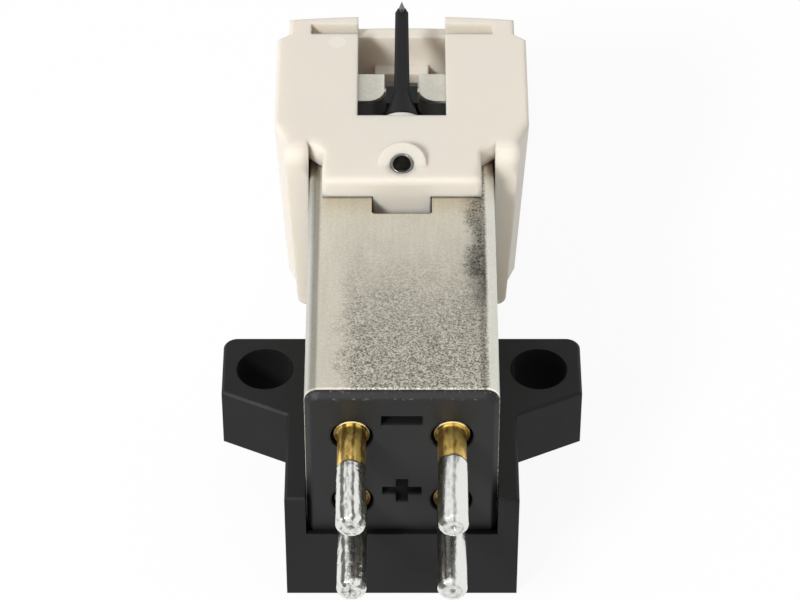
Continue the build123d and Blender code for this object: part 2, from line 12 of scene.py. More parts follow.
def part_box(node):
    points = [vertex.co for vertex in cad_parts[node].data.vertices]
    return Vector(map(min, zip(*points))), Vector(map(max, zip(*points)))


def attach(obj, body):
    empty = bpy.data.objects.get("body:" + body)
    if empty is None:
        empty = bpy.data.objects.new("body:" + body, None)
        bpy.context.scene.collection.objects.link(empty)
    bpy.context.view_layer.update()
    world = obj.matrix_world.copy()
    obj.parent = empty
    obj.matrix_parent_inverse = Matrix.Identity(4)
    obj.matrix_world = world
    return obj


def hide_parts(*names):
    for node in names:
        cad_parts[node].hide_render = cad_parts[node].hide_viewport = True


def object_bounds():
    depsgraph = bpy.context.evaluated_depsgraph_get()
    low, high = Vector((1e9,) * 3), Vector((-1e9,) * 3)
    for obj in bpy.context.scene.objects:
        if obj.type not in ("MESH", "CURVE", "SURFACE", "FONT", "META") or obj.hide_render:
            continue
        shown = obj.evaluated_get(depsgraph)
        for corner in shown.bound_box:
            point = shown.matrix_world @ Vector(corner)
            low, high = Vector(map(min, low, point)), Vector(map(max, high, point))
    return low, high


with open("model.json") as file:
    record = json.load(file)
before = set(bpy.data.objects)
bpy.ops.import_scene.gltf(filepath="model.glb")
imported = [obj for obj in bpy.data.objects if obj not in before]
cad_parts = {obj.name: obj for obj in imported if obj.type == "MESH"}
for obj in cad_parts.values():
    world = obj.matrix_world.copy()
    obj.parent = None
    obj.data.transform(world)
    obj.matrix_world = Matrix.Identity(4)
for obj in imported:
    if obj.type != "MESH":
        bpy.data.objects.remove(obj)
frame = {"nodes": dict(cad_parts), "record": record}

bl_info = {
    "name": "Phono Cartridge Finishes",
    "version": (1, 0, 0),
    "blender": (4, 5, 0),
    "location": "View3D > Sidebar > Cartridge",
    "description": "Finishes, tinned pins and studio for a half-inch phono cartridge",
    "category": "Object",
}

MM = 0.001
CAD_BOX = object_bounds()
# Painted dark reflection streaks along a pin: degrees from its top towards the right, half width in degrees,
# and depth.
UNDER_STREAKS = ((-150.0, 8.0, 0.6), (-112.0, 12.0, 0.8), (128.0, 14.0, 0.8), (172.0, 7.0, 0.9))
LEFT_STREAKS = ((-35.0, 9.0, 0.95), (-14.0, 10.0, 0.3), (9.0, 5.0, 0.9), (62.0, 20.0, 0.7), *UNDER_STREAKS)
RIGHT_STREAKS = ((-58.0, 20.0, 0.8), (-20.0, 12.0, 0.22), (5.0, 8.0, 0.5), *UNDER_STREAKS)
# For each pin, its gilded length outside the block in millimetres, the crinkles in its solder, its painted
# reflection streaks.
PINS = {
    "upper_left": (2.05, 0.75, LEFT_STREAKS),
    "upper_right": (1.7, 0.25, RIGHT_STREAKS),
    "lower_left": (0.6, 0.75, LEFT_STREAKS),
    "lower_right": (0.6, 0.25, RIGHT_STREAKS),
}
SIDES = ("left", "right")

# Streaks waver and fade by these degrees.
STREAK_DRIFT = 5.0
STREAK_FADE = 9.0
# Length over which the gold passes into solder, and share of the gilding that the solder covers below.
SOLDER_FADE = 0.05 * MM
SOLDER_CREEP = 0.8
# Degrees from its top to where a pin's collar darkens as a painted reflection, and over which it does.
COLLAR_BRIGHT = 38.0
COLLAR_FADE = 20.0
# A pin's end: depth of its dents, the dimple in its middle, and how much painted shade its parts get.
END_DENTS = 0.04 * MM
DIMPLE_RADIUS = 0.1 * MM
DIMPLE_DEPTH = 0.07 * MM
DIMPLE_SHADE = 0.6
END_FACE_SHADE = 0.22
END_RIM_SHADE = 0.42
END_UNDERSIDE_SHADE = 0.05
# Distance in the noise from one pin to the next, so that no two pins are alike.
PIN_SEED = 11.7
SMOOTH_ANGLE = math.radians(40)
# Gold stains, then the painted dark of streaks and shade on gold, the painted highlight on the collar's rim,
# and the painted dark on solder.
STAINED_GOLD = (0.4, 0.22, 0.05, 1.0)
PAINTED_DARK_GOLD = (0.14, 0.07, 0.015, 1.0)
GOLD_RIM_HIGHLIGHT = (1.0, 0.86, 0.42, 1.0)
PAINTED_DARK_SOLDER = (0.14, 0.14, 0.12, 1.0)

# Scuffs of the black mouldings, and the roughness and painted shade of their hollows.
SCUFF_COLOUR = (0.3, 0.3, 0.29, 1.0)
SCUFF_SIZE = 0.17 * MM
HOLLOW_ROUGHNESS = 0.95
HOLLOW_LIGHT = 0.1

# Grain of the shield can, and how much painted shade falls on its rear, its right band, its creases and its
# front bends, and the painted highlight on its rear rim.
CALM_GRAIN = 0.22
SPARKLING_GRAIN = 2.3
REAR_SHADE = 0.43
BAND_SHADE = 0.58
LEFT_CREASE_SHADE = 0.5
RIGHT_CREASE_SHADE = 0.64
FRONT_BEND_SHADE = 0.3
RIM_LIGHT = 0.5

# Ejector mark on the stylus housing: its place across, behind the front, and its colour.
MARK_X = -3.1 * MM
MARK_BEHIND = 2.08 * MM
MARK_COLOUR = (0.93, 0.9, 0.86, 1.0)

# Studio, in metres.
FLOOR_SIZE = 4.0
FLOOR_DROP = 0.01 * MM
OVERHEAD_SIZE = 0.6
OVERHEAD_PLACE = (0.0, -0.1, 0.8)
KEY_SIZE = 0.2
KEY_PLACE = (-0.42, -0.57, 0.53)
SENSOR_MM = 36.0
NEAR_CLIP = 1 * MM
FAR_CLIP = 20.0


def colour(label, words, value):
    """Colour that a user may change, in linear values."""
    return FloatVectorProperty(
        name=label, description=words, subtype="COLOR", size=3, min=0.0, max=1.0, default=value
    )


def length(label, words, value_mm):
    """Length that a user may change, given in millimetres."""
    return FloatProperty(
        name=label, description=words, unit="LENGTH", precision=6, min=0.0, default=value_mm * MM
    )


def share(label, words, value, high=1.0):
    """Plain factor that a user may change."""
    return FloatProperty(name=label, description=words, subtype="FACTOR", min=0.0, max=high, default=value)


def power(label, words, value):
    """Radiant power of a lamp that a user may change, in watts."""
    return FloatProperty(name=label, description=words, unit="POWER", min=0.0, default=value)


class CartridgeColours(bpy.types.PropertyGroup):
    """Colours of the finishes."""

    bracket: colour("Bracket", "Black moulding of the mounting bracket", (0.0048, 0.0048, 0.0049))
    terminal: colour("Terminal block", "Black moulding behind the pins", (0.0095, 0.0095, 0.0096))
    nickel: colour("Nickel", "Satin nickel of the shield can", (0.648, 0.609, 0.512))
    # Lighter, more neutral nickel on the bends, a painted reflection.
    bend: colour("Bend", "Nickel where the sheet is bent", (0.67, 0.66, 0.59))
    gold: colour("Gold", "Gilding on the pins' collars and necks", (0.98, 0.7, 0.2))
    tin: colour("Tin", "Solder on the pins' contacts", (0.8, 0.8, 0.77))
    ivory: colour("Ivory", "Moulding of the stylus housing", (0.745, 0.69, 0.605))
    eyelet: colour("Eyelet", "Turned steel of the locking eyelet", (0.2, 0.195, 0.18))
    clip: colour("Clip", "Bright sheet of the suspension clip", (0.76, 0.75, 0.65))
    carbon: colour("Carbon plastic", "Black moulding of the cantilever", (0.0085, 0.0085, 0.0087))
    rubber: colour("Rubber", "Damper ring", (0.016, 0.016, 0.016))
    diamond: colour("Diamond", "Stylus tip", (0.025, 0.026, 0.025))
    iron: colour("Pole iron", "Annealed pole pieces and yoke", (0.46, 0.45, 0.43))
    magnet: colour("Magnet", "Sintered magnet rods", (0.2, 0.2, 0.21))
    bobbin: colour("Bobbin", "Natural moulding of the coil bobbins", (0.68, 0.62, 0.5))
    copper: colour("Copper", "Enamelled coil wire", (0.6, 0.24, 0.1))
    floor: colour("Floor", "Plain pale floor", (0.9, 0.9, 0.9))


class CartridgeSizes(bpy.types.PropertyGroup):
    """Sizes of the pins and of the texture in the finishes."""

    pin_contact: length("Pin contact", "Diameter of a pin's tinned contact", 1.33)
    pin_neck: length("Pin neck", "Diameter of a pin's gilded neck", 1.27)
    pin_collar: length("Pin collar", "Diameter of the collar in the recess", 1.62)
    pin_shank: length("Pin shank", "Diameter of the shank inside the block", 0.9)
    pin_step: length("Pin step", "Distance between the rings of a pin's mesh", 0.045)
    pin_round: length("Pin rounding", "Radius of the rounded end", 0.24)
    solder_swell: length("Solder swell", "Height of the crinkles in the solder", 0.025)
    solder_edge: length("Solder edge", "Waver of the edge between gold and solder", 0.1)
    nickel_grain: length("Nickel grain", "Width of one grain of the nickel", 0.062)
    plastic_grain: length("Plastic grain", "Width of the black mouldings' texture", 0.06)
    ivory_grain: length("Ivory grain", "Width of the ivory moulding's texture", 0.09)
    wire: length("Coil wire", "Pitch of the turns in the windings", 0.06)
    pin_segments: IntProperty(
        name="Pin segments", description="Faces around a pin", min=12, max=128, default=72
    )


class CartridgeStudio(bpy.types.PropertyGroup):
    """Camera and light."""

    elevation: FloatProperty(
        name="Elevation", description="Camera above the floor", subtype="ANGLE", default=math.radians(44.0)
    )
    distance: length("Distance", "Camera to the point it looks at", 168.6)
    lens: FloatProperty(name="Lens", description="Focal length in millimetres", unit="CAMERA", default=162.0)
    aim: FloatVectorProperty(
        name="Aim",
        description="Point that the camera looks at",
        subtype="TRANSLATION",
        unit="LENGTH",
        precision=6,
        default=(-0.000085, 0.00335, 0.007575),
    )
    ambient: share("Ambient", "World light on the object", 0.5, 2.0)
    overhead: power("Overhead", "Overhead softbox", 0.4)
    key: power("Key", "Softbox on the left", 6.8)
    floor_show: share("Floor white", "How far the floor is lifted to white for the camera", 0.92)


class Tree:
    """Short way to place nodes in a node tree and wire them."""

    def __init__(self, tree):
        self.tree = tree

    def feed(self, socket, value):
        if isinstance(value, bpy.types.NodeSocket):
            self.tree.links.new(value, socket)
        else:
            socket.default_value = value

    def node(self, kind, inputs=None, **settings):
        made = self.tree.nodes.new(kind)
        for key, value in settings.items():
            setattr(made, key, value)
        for key, value in (inputs or {}).items():
            self.feed(made.inputs[key], value)
        return made

    def math(self, operation, a, b=0.0):
        return self.node("ShaderNodeMath", {0: a, 1: b}, operation=operation).outputs[0]

    def plus(self, a, b):
        return self.math("ADD", a, b)

    def minus(self, a, b):
        return self.math("SUBTRACT", a, b)

    def times(self, a, b):
        return self.math("MULTIPLY", a, b)

    def larger(self, a, b):
        return self.math("MAXIMUM", a, b)

    def mix(self, factor, a, b):
        """Value between a and b."""
        return self.node("ShaderNodeMix", {0: factor, 2: a, 3: b}, data_type="FLOAT").outputs[0]

    def tint(self, factor, a, b):
        """Colour between a and b."""
        return self.node("ShaderNodeMix", {0: factor, 6: a, 7: b}, data_type="RGBA").outputs[2]

    def shade(self, paint, factor):
        """Colour made lighter or darker by a factor."""
        return self.node("ShaderNodeVectorMath", {0: paint, "Scale": factor}, operation="SCALE").outputs[0]

    def ease(self, value, start, end, low=0.0, high=1.0):
        """Smooth step of a value from low at start to high at end."""
        inputs = {"Value": value, "From Min": start, "From Max": end, "To Min": low, "To Max": high}
        return self.node("ShaderNodeMapRange", inputs, interpolation_type="SMOOTHSTEP").outputs["Result"]

    def place(self):
        """Point on the surface in the part's own frame, in metres."""
        return self.node("ShaderNodeTexCoord").outputs["Object"]

    def axes(self, vector):
        return self.node("ShaderNodeSeparateXYZ", {0: vector}).outputs

    def stretch(self, vector, factors):
        return self.node("ShaderNodeVectorMath", {0: vector, 1: factors}, operation="MULTIPLY").outputs[0]

    def noise(self, vector, scale, detail):
        inputs = {"Vector": vector, "Scale": scale, "Detail": detail}
        return self.node("ShaderNodeTexNoise", inputs).outputs[0]

    def cells(self, vector, scale):
        return self.node("ShaderNodeTexVoronoi", {"Vector": vector, "Scale": scale}).outputs

    def bump(self, height, distance, normal=None):
        inputs = {"Height": height, "Distance": distance}
        if normal is not None:
            inputs["Normal"] = normal
        return self.node("ShaderNodeBump", inputs).outputs["Normal"]


def rgba(paint):
    return (*paint, 1.0)


def new_group(name, inputs, outputs):
    """Shader node group with named sockets: its Tree, what it takes in and what it puts out."""
    made = bpy.data.node_groups.new(name, "ShaderNodeTree")
    for label, kind, value in inputs:
        made.interface.new_socket(label, in_out="INPUT", socket_type=kind).default_value = value
    for label, kind in outputs:
        made.interface.new_socket(label, in_out="OUTPUT", socket_type=kind)
    tree = Tree(made)
    return tree, tree.node("NodeGroupInput").outputs, tree.node("NodeGroupOutput").inputs


def moulded_skin():
    """Group: fine texture, cloudy mottling and uneven gloss of a moulding."""
    name = "moulded skin"
    if name in bpy.data.node_groups:
        return bpy.data.node_groups[name]
    tree, given, out = new_group(
        name,
        (
            ("Colour", "NodeSocketColor", (0.5, 0.5, 0.5, 1.0)),
            ("Grain", "NodeSocketFloat", 0.06 * MM),
            ("Clouds", "NodeSocketFloat", 3 * MM),
            ("Shading", "NodeSocketFloat", 0.1),
            ("Roughness", "NodeSocketFloat", 0.45),
            ("Unevenness", "NodeSocketFloat", 0.1),
        ),
        (("Colour", "NodeSocketColor"), ("Roughness", "NodeSocketFloat"), ("Height", "NodeSocketFloat")),
    )
    place = tree.place()
    fine = tree.noise(place, tree.math("DIVIDE", 1.0, given["Grain"]), 3.0)
    clouds = tree.noise(place, tree.math("DIVIDE", 1.0, given["Clouds"]), 4.0)
    both = tree.plus(tree.times(clouds, 0.75), tree.times(fine, 0.25))
    centred = tree.minus(both, 0.5)
    light = tree.plus(1.0, tree.times(centred, given["Shading"]))
    tree.feed(out["Colour"], tree.shade(given["Colour"], light))
    gloss = tree.times(centred, given["Unevenness"])
    tree.feed(out["Roughness"], tree.plus(given["Roughness"], gloss))
    tree.feed(out["Height"], fine)
    return tree.tree


def soft_edge():
    """Group: where an edge is, and the normal of that edge rounded off."""
    name = "soft edge"
    if name in bpy.data.node_groups:
        return bpy.data.node_groups[name]
    tree, given, out = new_group(
        name,
        (("Radius", "NodeSocketFloat", 0.06 * MM),),
        (("Edge", "NodeSocketFloat"), ("Normal", "NodeSocketVector")),
    )
    rounded = tree.node("ShaderNodeBevel", {"Radius": given["Radius"]}, samples=4).outputs[0]
    flat = tree.node("ShaderNodeNewGeometry").outputs["Normal"]
    same = tree.node("ShaderNodeVectorMath", {0: rounded, 1: flat}, operation="DOT_PRODUCT").outputs["Value"]
    tree.feed(out["Edge"], tree.ease(same, 0.995, 0.8))
    tree.feed(out["Normal"], rounded)
    return tree.tree


def sheet_grain():
    """Group: crystalline grain of rolled or plated metal."""
    name = "sheet grain"
    if name in bpy.data.node_groups:
        return bpy.data.node_groups[name]
    tree, given, out = new_group(
        name,
        (
            ("Colour", "NodeSocketColor", (0.5, 0.5, 0.5, 1.0)),
            ("Grain", "NodeSocketFloat", 0.07 * MM),
            ("Amount", "NodeSocketFloat", 0.3),
            ("Roughness", "NodeSocketFloat", 0.3),
            ("Unevenness", "NodeSocketFloat", 0.1),
        ),
        (("Colour", "NodeSocketColor"), ("Roughness", "NodeSocketFloat"), ("Height", "NodeSocketFloat")),
    )
    place = tree.place()
    pitch = tree.math("DIVIDE", 1.0, given["Grain"])
    crystal = tree.axes(tree.cells(place, pitch)["Color"])[0]
    fine = tree.noise(place, tree.times(pitch, 1.7), 2.0)
    speck = tree.plus(tree.times(crystal, 0.6), tree.times(fine, 0.8))
    speck = tree.minus(speck, 0.7)
    light = tree.plus(1.0, tree.times(speck, given["Amount"]))
    tree.feed(out["Colour"], tree.shade(given["Colour"], light))
    gloss = tree.times(tree.minus(fine, 0.5), given["Unevenness"])
    tree.feed(out["Roughness"], tree.plus(given["Roughness"], gloss))
    tree.feed(out["Height"], tree.times(speck, given["Amount"]))
    return tree.tree


def new_material(name):
    """Material with nodes: itself, its Tree and the Principled shader's inputs."""
    made = bpy.data.materials.new(name)
    made.use_nodes = True
    return made, Tree(made.node_tree), made.node_tree.nodes["Principled BSDF"].inputs


def plastic(name, paint, grain, roughness, bump, edge_light=1.15, specular=0.4, edge_mm=0.07, masks=None):
    """Moulded plastic with a painted highlight on its edges and, by masks, painted shade in its hollows and
    pale scuffs along edges.
    """
    made, tree, surface = new_material(name)
    hollow_shade, scuffed = masks(tree) if masks else (0.0, 0.0)
    inputs = {"Colour": rgba(paint), "Grain": grain, "Clouds": 2.5 * MM, "Shading": 0.25}
    inputs.update({"Roughness": tree.mix(hollow_shade, roughness, HOLLOW_ROUGHNESS), "Unevenness": 0.25})
    skin = tree.node("ShaderNodeGroup", inputs, node_tree=moulded_skin()).outputs
    edge = tree.node("ShaderNodeGroup", {"Radius": edge_mm * MM}, node_tree=soft_edge()).outputs
    # Painted highlight on the edges, and painted shade in the hollows.
    lit = tree.plus(1.0, tree.times(edge["Edge"], edge_light - 1.0))
    lit = tree.times(lit, tree.mix(hollow_shade, 1.0, HOLLOW_LIGHT))
    worn = tree.ease(tree.noise(tree.place(), 1 / SCUFF_SIZE, 4.0), 0.57, 0.65)
    worn = tree.times(tree.times(worn, scuffed), edge["Edge"])
    tree.feed(surface["Base Color"], tree.tint(worn, tree.shade(skin["Colour"], lit), SCUFF_COLOUR))
    tree.feed(surface["Roughness"], skin["Roughness"])
    tree.feed(surface["Normal"], tree.bump(skin["Height"], bump, normal=edge["Normal"]))
    surface["Specular IOR Level"].default_value = specular
    return made


def bracket_masks(tree):
    """Where painted shade goes inside the two mounting holes, and slight scuffs everywhere."""
    x, y, _ = tree.axes(tree.place())
    holes = next(m for m in frame["record"]["mounts"] if m["name"] == "mounting_holes")["dims"]
    radius = holes["hole_r_mm"] * MM
    across = tree.minus(tree.math("ABSOLUTE", x), holes["spacing_x_mm"] / 2 * MM)
    squares = tree.plus(tree.times(across, across), tree.times(y, y))
    return tree.ease(tree.math("SQRT", squares), 1.04 * radius, 1.005 * radius), 0.1


def block_masks(tree):
    """The hollows of the terminal block's rear face, which get painted shade, and scuffs along its upper
    edge.
    """
    low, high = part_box("terminal_block")
    x, y, z = tree.axes(tree.place())
    inner = tree.ease(tree.math("ABSOLUTE", x), high.x - 0.75 * MM, high.x - 0.95 * MM)
    inner = tree.times(inner, tree.ease(z, high.z - 0.75 * MM, high.z - 0.95 * MM))
    hollow_shade = tree.times(inner, tree.ease(y, low.y + 0.08 * MM, low.y + 0.26 * MM))
    return hollow_shade, tree.ease(z, high.z - 0.9 * MM, high.z - 0.7 * MM, 0.0, 0.8)


def metal(name, paint, grain, amount, roughness, bump, edge_light=1.0, metallic=1.0):
    """Plain metal with grain and, where wanted, a painted highlight on its edges."""
    made, tree, surface = new_material(name)
    inputs = {"Colour": rgba(paint), "Grain": grain, "Amount": amount, "Roughness": roughness}
    skin = tree.node("ShaderNodeGroup", inputs, node_tree=sheet_grain()).outputs
    edge = tree.node("ShaderNodeGroup", {"Radius": 0.04 * MM}, node_tree=soft_edge()).outputs
    lit = tree.plus(1.0, tree.times(edge["Edge"], edge_light - 1.0))
    tree.feed(surface["Base Color"], tree.shade(skin["Colour"], lit))
    tree.feed(surface["Roughness"], skin["Roughness"])
    tree.feed(surface["Normal"], tree.bump(skin["Height"], bump, normal=edge["Normal"]))
    surface["Metallic"].default_value = metallic
    return made


def satin_nickel(colours, sizes):
    """Nickel that is smooth in front and on the left and sparkling behind and on the right, with painted
    shade behind, on the right band, in the creases and on the front bends, a painted reflection on the bends
    and a painted highlight on the rear rim.
    """
    made, tree, surface = new_material("satin nickel")
    low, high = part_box("shield_can")
    place = tree.place()
    x, y, _ = tree.axes(place)
    # Places across and along the can, with a cloudy waver so that no zone ends in a straight line.
    clouds = tree.minus(tree.noise(place, 1 / (1.1 * MM), 4.0), 0.5)
    waver = tree.times(clouds, 3.2 * MM)
    across = tree.plus(x, tree.times(waver, 0.5))
    along = tree.plus(y, waver)
    # The bent edges, which get a painted reflection, and the creases beside them, which get painted shade, by
    # how far the surface leans to a side.
    lean = tree.axes(tree.node("ShaderNodeNewGeometry").outputs["Normal"])[0]
    bend = tree.larger(tree.ease(lean, 0.12, 0.4), tree.ease(lean, -0.35, -0.8))
    left_crease = tree.times(tree.ease(lean, -0.05, -0.3), tree.ease(lean, -0.85, -0.5))
    right_crease = tree.times(tree.ease(x, 3.1 * MM, 3.6 * MM), tree.ease(lean, 0.3, 0.05))
    left_crease = tree.times(left_crease, LEFT_CREASE_SHADE)
    crease_shade = tree.larger(left_crease, tree.times(right_crease, RIGHT_CREASE_SHADE))
    # The sparkling rear, all but a smooth strip on the left, and the sparkling band on the right, which also
    # get painted shade.
    inside = tree.ease(across, low.x + 1.1 * MM, low.x + 2.3 * MM)
    behind = tree.times(tree.ease(along, 6.0 * MM, -5.0 * MM), tree.mix(inside, 0.2, 1.0))
    rough = tree.times(tree.ease(along, 2.5 * MM, -6.5 * MM), inside)
    right = tree.ease(across, high.x - 1.75 * MM, high.x - 0.8 * MM)
    band = tree.times(right, tree.ease(along, -4.5 * MM, 0.0))
    sparkle = tree.larger(rough, band)
    flat = tree.minus(1.0, bend)
    amount = tree.mix(tree.times(sparkle, flat), CALM_GRAIN, SPARKLING_GRAIN)
    # Painted reflection: the bends get a lighter, more neutral nickel.
    paint = tree.tint(bend, rgba(colours.nickel), rgba(colours.bend))
    inputs = {"Colour": paint, "Grain": sizes.nickel_grain, "Amount": amount}
    inputs.update({"Roughness": 0.36, "Unevenness": 0.2})
    skin = tree.node("ShaderNodeGroup", inputs, node_tree=sheet_grain()).outputs
    # Fine rolling lines, then the painted shades of the zones and creases, a painted highlight on the rear
    # rim and painted shade on the front bends.
    rolled = tree.noise(tree.stretch(place, (6000.0, 300.0, 6000.0)), 1.0, 3.0)
    light = tree.plus(1.0, tree.times(tree.minus(rolled, 0.5), 0.16))
    shadow = tree.plus(tree.times(behind, REAR_SHADE), tree.times(band, BAND_SHADE))
    shadow = tree.times(shadow, flat)
    light = tree.minus(light, tree.larger(shadow, crease_shade))
    rim = tree.ease(y, low.y + 0.16 * MM, low.y + 0.06 * MM)
    light = tree.plus(light, tree.times(rim, RIM_LIGHT))
    shaded = tree.times(tree.ease(x, 0.0, low.x), tree.ease(along, 0.0, 6.0 * MM))
    shaded = tree.times(tree.times(shaded, bend), FRONT_BEND_SHADE)
    light = tree.minus(light, shaded)
    edge = tree.node("ShaderNodeGroup", {"Radius": 0.05 * MM}, node_tree=soft_edge()).outputs
    tree.feed(surface["Base Color"], tree.shade(skin["Colour"], light))
    tree.feed(surface["Roughness"], skin["Roughness"])
    height = tree.plus(skin["Height"], tree.times(rolled, 0.3))
    tree.feed(surface["Normal"], tree.bump(height, 0.005 * MM, normal=edge["Normal"]))
    surface["Metallic"].default_value = 1.0
    return made


def ivory_moulding(colours, sizes):
    """Ivory plastic with a pale round ejector mark on the left of the plate, and painted shade on the boss's
    tilted face.
    """
    made, tree, surface = new_material("ivory moulding")
    low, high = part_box("stylus_housing")
    inputs = {"Colour": rgba(colours.ivory), "Grain": sizes.ivory_grain, "Clouds": 4 * MM, "Shading": 0.06}
    inputs.update({"Roughness": 0.42, "Unevenness": 0.15})
    skin = tree.node("ShaderNodeGroup", inputs, node_tree=moulded_skin()).outputs
    place = tree.place()
    x, y, z = tree.axes(place)
    # Wider rounding behind the wings and at the rear of the tongue.
    wide = tree.ease(tree.math("ABSOLUTE", x), 3.3 * MM, 3.8 * MM)
    back = tree.times(tree.ease(y, low.y + 4.6 * MM, low.y + 3.6 * MM), wide)
    back = tree.times(back, tree.ease(z, high.z - 2.2 * MM, high.z - 1.4 * MM))
    tail = tree.times(tree.ease(y, low.y + 1.2 * MM, low.y + 0.8 * MM), 0.8)
    tail = tree.times(tail, tree.ease(z, high.z - 1.1 * MM, high.z - 0.8 * MM))
    radius = tree.mix(tree.larger(back, tail), 0.15 * MM, 0.75 * MM)
    edge = tree.node("ShaderNodeGroup", {"Radius": radius}, node_tree=soft_edge()).outputs
    # Painted shade: the tilted face of the boss is made a little darker.
    facing = tree.axes(tree.node("ShaderNodeNewGeometry").outputs["True Normal"])
    boss_shade = tree.times(tree.ease(facing[1], -0.36, -0.39), tree.ease(facing[2], 0.88, 0.91))
    centre = (MARK_X, high.y - MARK_BEHIND, 0.0)
    plan = tree.stretch(place, (1.0, 1.0, 0.0))
    reach = tree.node("ShaderNodeVectorMath", {0: plan, 1: centre}, operation="DISTANCE").outputs["Value"]
    mark = tree.ease(reach, 0.46 * MM, 0.38 * MM)
    paint = tree.tint(tree.times(mark, 0.22), skin["Colour"], MARK_COLOUR)
    paint = tree.shade(paint, tree.minus(1.0, tree.times(boss_shade, 0.05)))
    tree.feed(surface["Base Color"], paint)
    gloss = tree.times(mark, 0.12)
    tree.feed(surface["Roughness"], tree.minus(skin["Roughness"], gloss))
    fine = tree.times(skin["Height"], 0.4)
    height = tree.minus(fine, tree.times(mark, 1.5))
    tree.feed(surface["Normal"], tree.bump(height, 0.004 * MM, normal=edge["Normal"]))
    surface["Specular IOR Level"].default_value = 0.45
    surface["Subsurface Weight"].default_value = 0.45
    surface["Subsurface Radius"].default_value = (1.0, 0.75, 0.5)
    surface["Subsurface Scale"].default_value = 1.0 * MM
    return made


def gold_and_solder(colours, crinkles):
    """Gilded pin with a coat of solder, painted shade near the block, a painted highlight on the collar's rim
    and painted dark reflection streaks, by the mesh's attribute for the tin and the one for the painted dark.
    """
    made, tree, surface = new_material("gold and solder")
    tin = tree.node("ShaderNodeAttribute", attribute_name="tin").outputs["Fac"]
    place = tree.place()
    stains = tree.noise(tree.stretch(place, (4200.0, 1400.0, 4200.0)), 1.0, 4.0)
    gold = tree.tint(tree.ease(stains, 0.45, 0.72), rgba(colours.gold), STAINED_GOLD)
    block_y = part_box("terminal_block")[0].y
    y = tree.axes(place)[1]
    # Painted shade: the gold darkens towards the block.
    gold = tree.shade(gold, tree.ease(y, block_y - 1.2 * MM, block_y - 0.1 * MM, 1.0, 0.5))
    # Painted highlight: the collar's rim turns pale and bright.
    rim = tree.ease(y, block_y - 0.02 * MM, block_y + 0.08 * MM)
    gold = tree.tint(rim, gold, GOLD_RIM_HIGHLIGHT)
    # Painted dark from the mesh's attribute: reflection streaks, the collar's darker sides and shade on the
    # end, frayed by the real crinkles of the solder.
    painted_dark = tree.node("ShaderNodeAttribute", attribute_name="painted_dark").outputs["Fac"]
    creases = tree.noise(tree.stretch(place, (6500.0, 2600.0, 6500.0)), 1.0, 5.0)
    fray = tree.times(tree.minus(creases, 0.5), 0.3 + 2.2 * crinkles)
    painted_dark_and_crinkles = tree.ease(tree.plus(painted_dark, fray), 0.05, 0.9)
    gold = tree.tint(tree.times(painted_dark_and_crinkles, 0.85), gold, PAINTED_DARK_GOLD)
    solder = tree.tint(painted_dark_and_crinkles, rgba(colours.tin), PAINTED_DARK_SOLDER)
    tree.feed(surface["Base Color"], tree.tint(tin, gold, solder))
    tree.feed(surface["Roughness"], tree.mix(tin, 0.28, tree.mix(painted_dark_and_crinkles, 0.18, 0.34)))
    height = tree.plus(tree.times(creases, tin), tree.times(stains, 0.3))
    tree.feed(surface["Normal"], tree.bump(height, (0.006 + 0.01 * crinkles) * MM))
    tree.feed(surface["Metallic"], tree.mix(tin, 0.7, 1.0))
    return made


def coil_copper(colours, sizes):
    """Enamelled wire, wound in close turns around the core, with painted shade in the grooves between the
    turns.
    """
    made, tree, surface = new_material("coil copper")
    _, y, _ = tree.axes(tree.place())
    turn = tree.math("SINE", tree.times(y, 2 * math.pi / sizes.wire))
    lay = tree.ease(turn, -1.0, 1.0)
    tree.feed(surface["Base Color"], tree.shade(tuple(colours.copper), tree.mix(lay, 0.45, 1.0)))
    tree.feed(surface["Roughness"], tree.mix(lay, 0.5, 0.28))
    tree.feed(surface["Normal"], tree.bump(lay, 0.02 * MM))
    surface["Metallic"].default_value = 1.0
    return made


def clear_diamond(colours):
    """Polished stylus tip."""
    made, tree, surface = new_material("clear diamond")
    facet = tree.axes(tree.cells(tree.place(), 1 / (0.12 * MM))["Color"])[0]
    tree.feed(surface["Base Color"], tree.shade(tuple(colours.diamond), tree.mix(facet, 0.4, 3.0)))
    tree.feed(surface["Roughness"], tree.mix(facet, 0.04, 0.14))
    surface["IOR"].default_value = 2.2
    surface["Transmission Weight"].default_value = 0.2
    return made


def dress(node, material):
    """Gives a CAD node a better material."""
    slots = frame["nodes"][node].data.materials
    slots.clear()
    slots.append(material)


class CARTRIDGE_OT_bracket(bpy.types.Operator):
    """Finish the mounting bracket and the terminal block"""

    bl_idname = "cartridge.bracket"
    bl_label = "Bracket and terminal block"

    def execute(self, context):
        colours = context.scene.cartridge_colours
        grain = context.scene.cartridge_sizes.plastic_grain
        finish = {"roughness": 0.55, "bump": 0.004 * MM, "specular": 0.24, "masks": bracket_masks}
        dress("mounting_bracket", plastic("bracket black", colours.bracket, grain, **finish))
        finish = {"roughness": 0.52, "bump": 0.006 * MM, "specular": 0.32}
        worn = {"edge_mm": 0.2, "masks": block_masks}
        dress("terminal_block", plastic("terminal black", colours.terminal, grain, **finish, **worn))
        dress("pole_holder", plastic("holder black", colours.terminal, grain, **finish))
        return {"FINISHED"}


class CARTRIDGE_OT_can(bpy.types.Operator):
    """Finish the shield can"""

    bl_idname = "cartridge.can"
    bl_label = "Shield can"

    def execute(self, context):
        scene = context.scene
        dress("shield_can", satin_nickel(scene.cartridge_colours, scene.cartridge_sizes))
        return {"FINISHED"}


